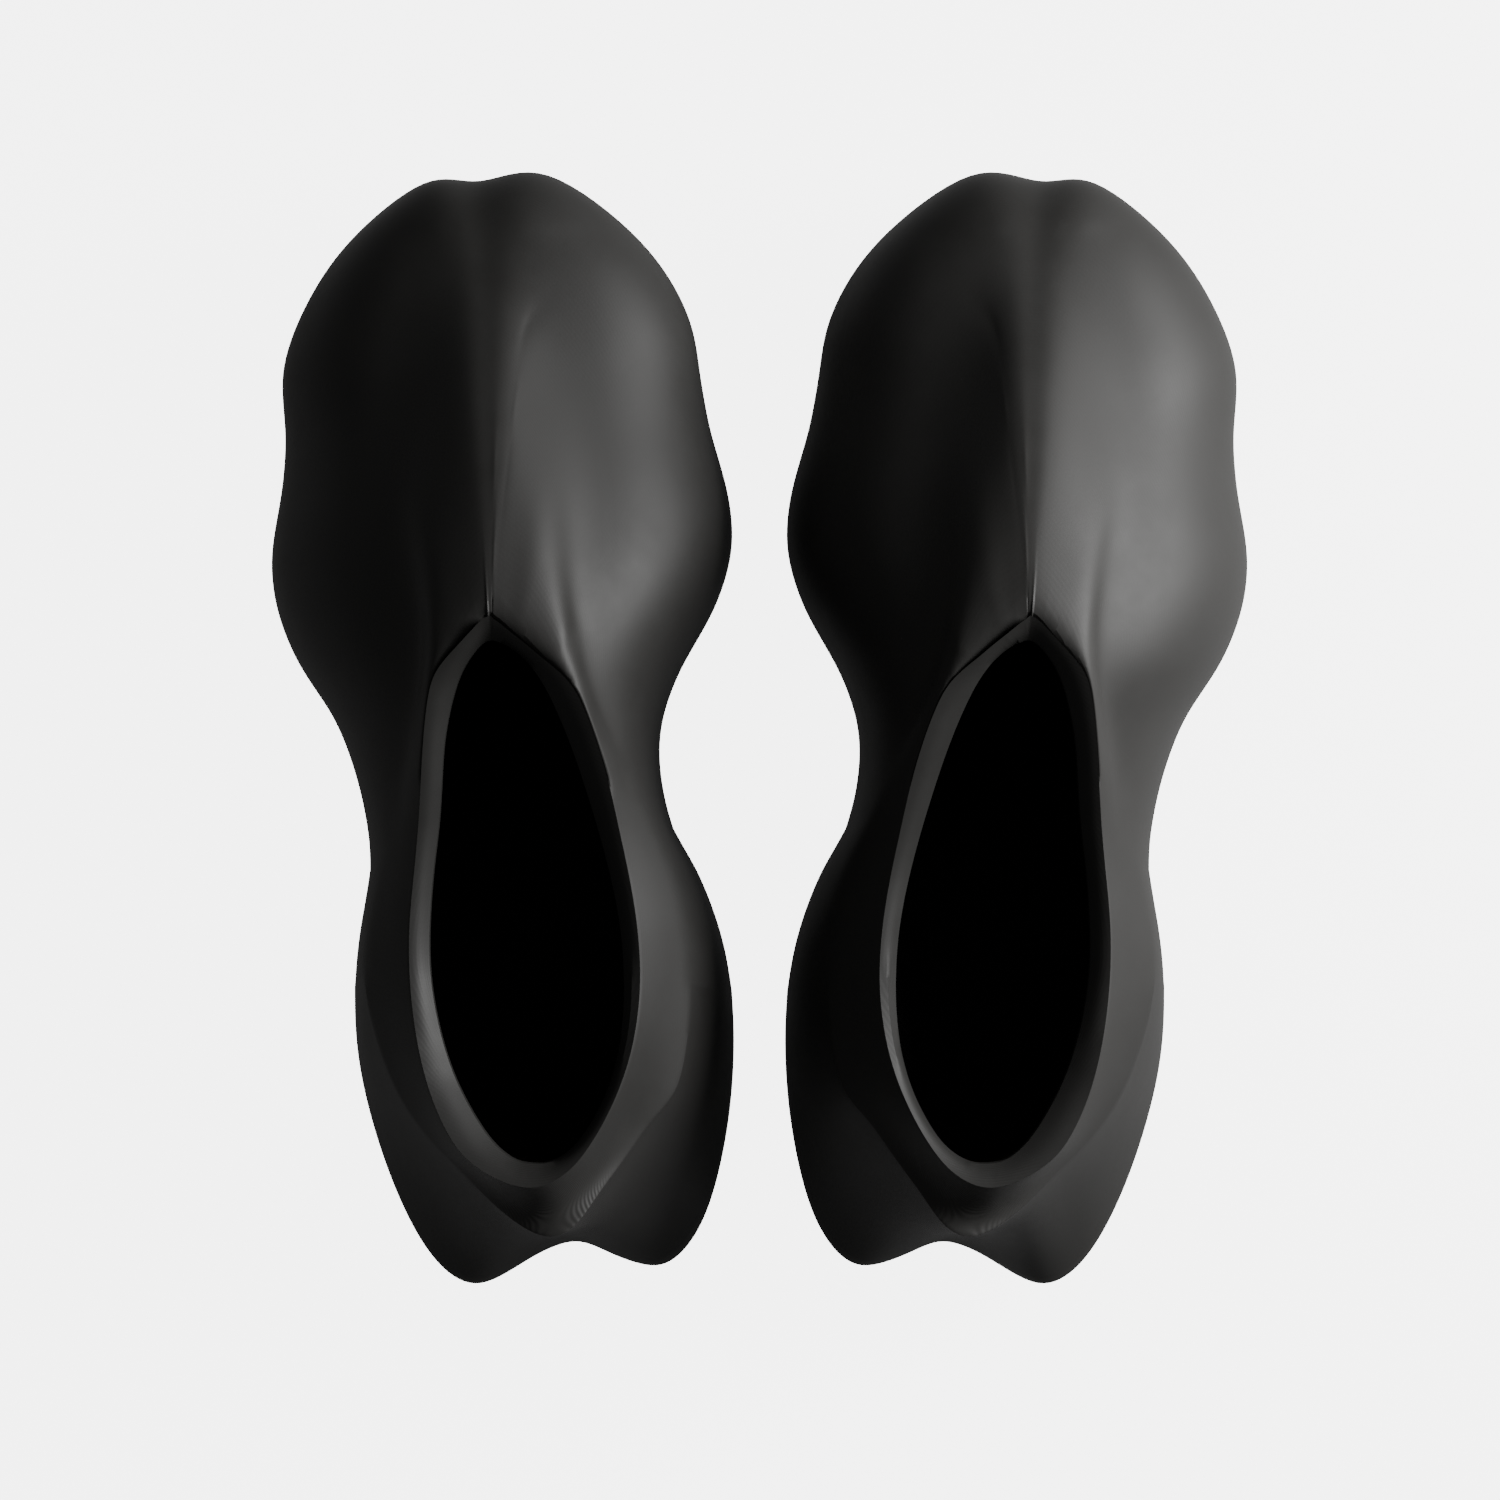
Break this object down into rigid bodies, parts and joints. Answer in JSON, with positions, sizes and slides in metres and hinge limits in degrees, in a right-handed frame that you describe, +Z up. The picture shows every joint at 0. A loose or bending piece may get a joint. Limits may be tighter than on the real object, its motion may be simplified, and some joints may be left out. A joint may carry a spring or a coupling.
{
  "type": "pair of slip-on shoes",
  "caption": "Pair of closed moulded slip-on shoes with wavy flared edges, a pointed throat, a bevelled ankle collar and a two-lobed heel.",
  "frame": {"origin": "on the ground, midway between the two shoes and midway along them", "axes": "+Y towards the toes, +Z up, +X towards the right shoe"},
  "size_m": [0.2772, 0.315, 0.1048],
  "materials": {
    "moulded_shell": "satin moulded elastomer, near black",
    "moulded_heel": "satin moulded elastomer, near black",
    "collar": "soft satin rubber",
    "lining": "knitted black lining",
    "midsole_foam": "fine moulded foam",
    "outsole_rubber": "matt rubber tread",
    "shank_steel": "brushed spring steel",
    "board": "pressed fibre board",
    "gel": "soft gel",
    "footbed_cloth": "black cloth over foam"
  },
  "bodies": {
    "left_shoe": {"left_upper_shell": "moulded_shell", "left_heel_counter": "moulded_heel", "left_collar_band": "collar", "left_inner_lining": "lining", "left_midsole": "midsole_foam", "left_forefoot_outsole": "outsole_rubber", "left_heel_outsole": "outsole_rubber", "left_arch_shank": "shank_steel", "left_insole_board": "board", "left_heel_cushion": "gel"},
    "left_footbed_body": {"left_footbed": "footbed_cloth"},
    "right_shoe": {"right_upper_shell": "moulded_shell", "right_heel_counter": "moulded_heel", "right_collar_band": "collar", "right_inner_lining": "lining", "right_midsole": "midsole_foam", "right_forefoot_outsole": "outsole_rubber", "right_heel_outsole": "outsole_rubber", "right_arch_shank": "shank_steel", "right_insole_board": "board", "right_heel_cushion": "gel"},
    "right_footbed_body": {"right_footbed": "footbed_cloth"}
  },
  "joints": [
    {"name": "left_footbed_lift", "type": "hinge", "parent": "left_shoe", "child": "left_footbed_body", "pos_m": [-0.073, 0.1375, 0.0385], "axis": [-1, 0, 0], "range_deg": [0, 4]},
    {"name": "right_footbed_lift", "type": "hinge", "parent": "right_shoe", "child": "right_footbed_body", "pos_m": [0.073, 0.1375, 0.0385], "axis": [-1, 0, 0], "range_deg": [0, 4]},
    {"name": "right_shoe_lift", "type": "slide", "parent": "left_shoe", "child": "right_shoe", "axis": [0, 0, 1], "range_m": [0, 0.15]}
  ]
}
